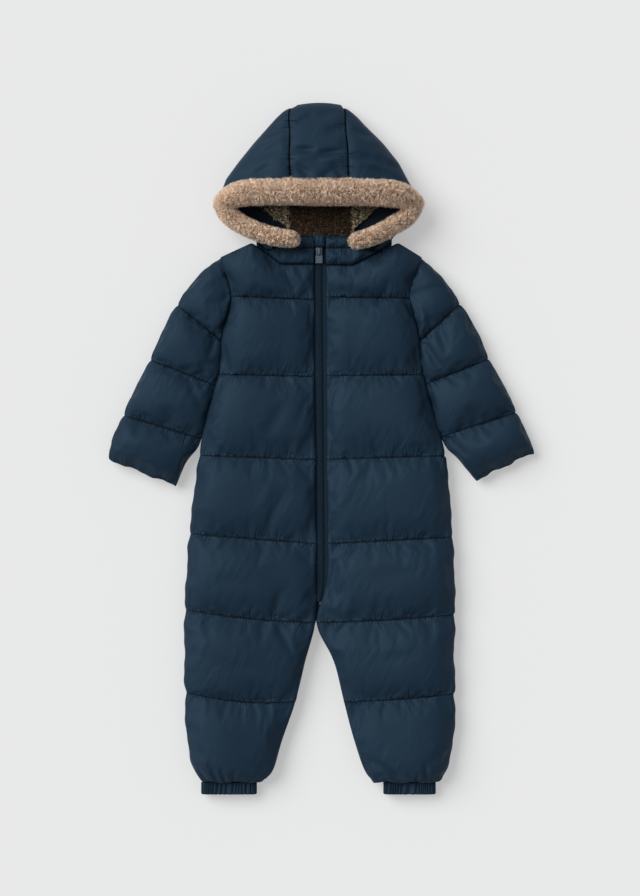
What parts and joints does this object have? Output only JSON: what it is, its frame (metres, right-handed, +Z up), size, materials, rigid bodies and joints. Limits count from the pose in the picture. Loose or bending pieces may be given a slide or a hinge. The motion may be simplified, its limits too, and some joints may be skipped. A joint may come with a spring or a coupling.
{
  "type": "baby's padded snowsuit",
  "caption": "Padded quilted all-in-one suit for a baby, laid flat on its back, with a fur-edged hood, a front zip with a hinged pull tab and gathered ankle bands.",
  "frame": {"origin": "middle of the laid suit's footprint on the surface it lies on", "axes": "+Z up off the surface, +Y from the ankles to the hood, +X towards the wearer's left"},
  "size_m": [0.5073, 0.8304, 0.067],
  "materials": {
    "shell_cloth": "smooth semi-matt navy nylon",
    "pile_lining": "short brown pile",
    "fur": "dense taupe faux fur",
    "zip_tape": "woven navy tape with moulded teeth",
    "zip_plastic": "matt grey-blue coating"
  },
  "bodies": {
    "garment": {"front_right": "shell_cloth", "front_left": "shell_cloth", "back_right": "shell_cloth", "back_left": "shell_cloth", "sleeve_right": "shell_cloth", "sleeve_left": "shell_cloth", "collar_right": "shell_cloth", "collar_left": "shell_cloth", "ankle_band_right": "shell_cloth", "ankle_band_left": "shell_cloth", "hood_centre": "shell_cloth", "hood_side_right": "shell_cloth", "hood_side_left": "shell_cloth", "lining_centre": "pile_lining", "lining_side_right": "pile_lining", "lining_side_left": "pile_lining", "fur_trim": "fur", "zip_tape": "zip_tape", "zip_slider": "zip_plastic", "zip_garage": "shell_cloth"},
    "zip_pull": {"zip_pull": "zip_plastic"}
  },
  "joints": [
    {"name": "pull_hinge", "type": "hinge", "parent": "garment", "child": "zip_pull", "pos_m": [-0.0012, 0.2369, 0.027], "axis": [-1, 0, 0], "range_deg": [0, 110]}
  ]
}
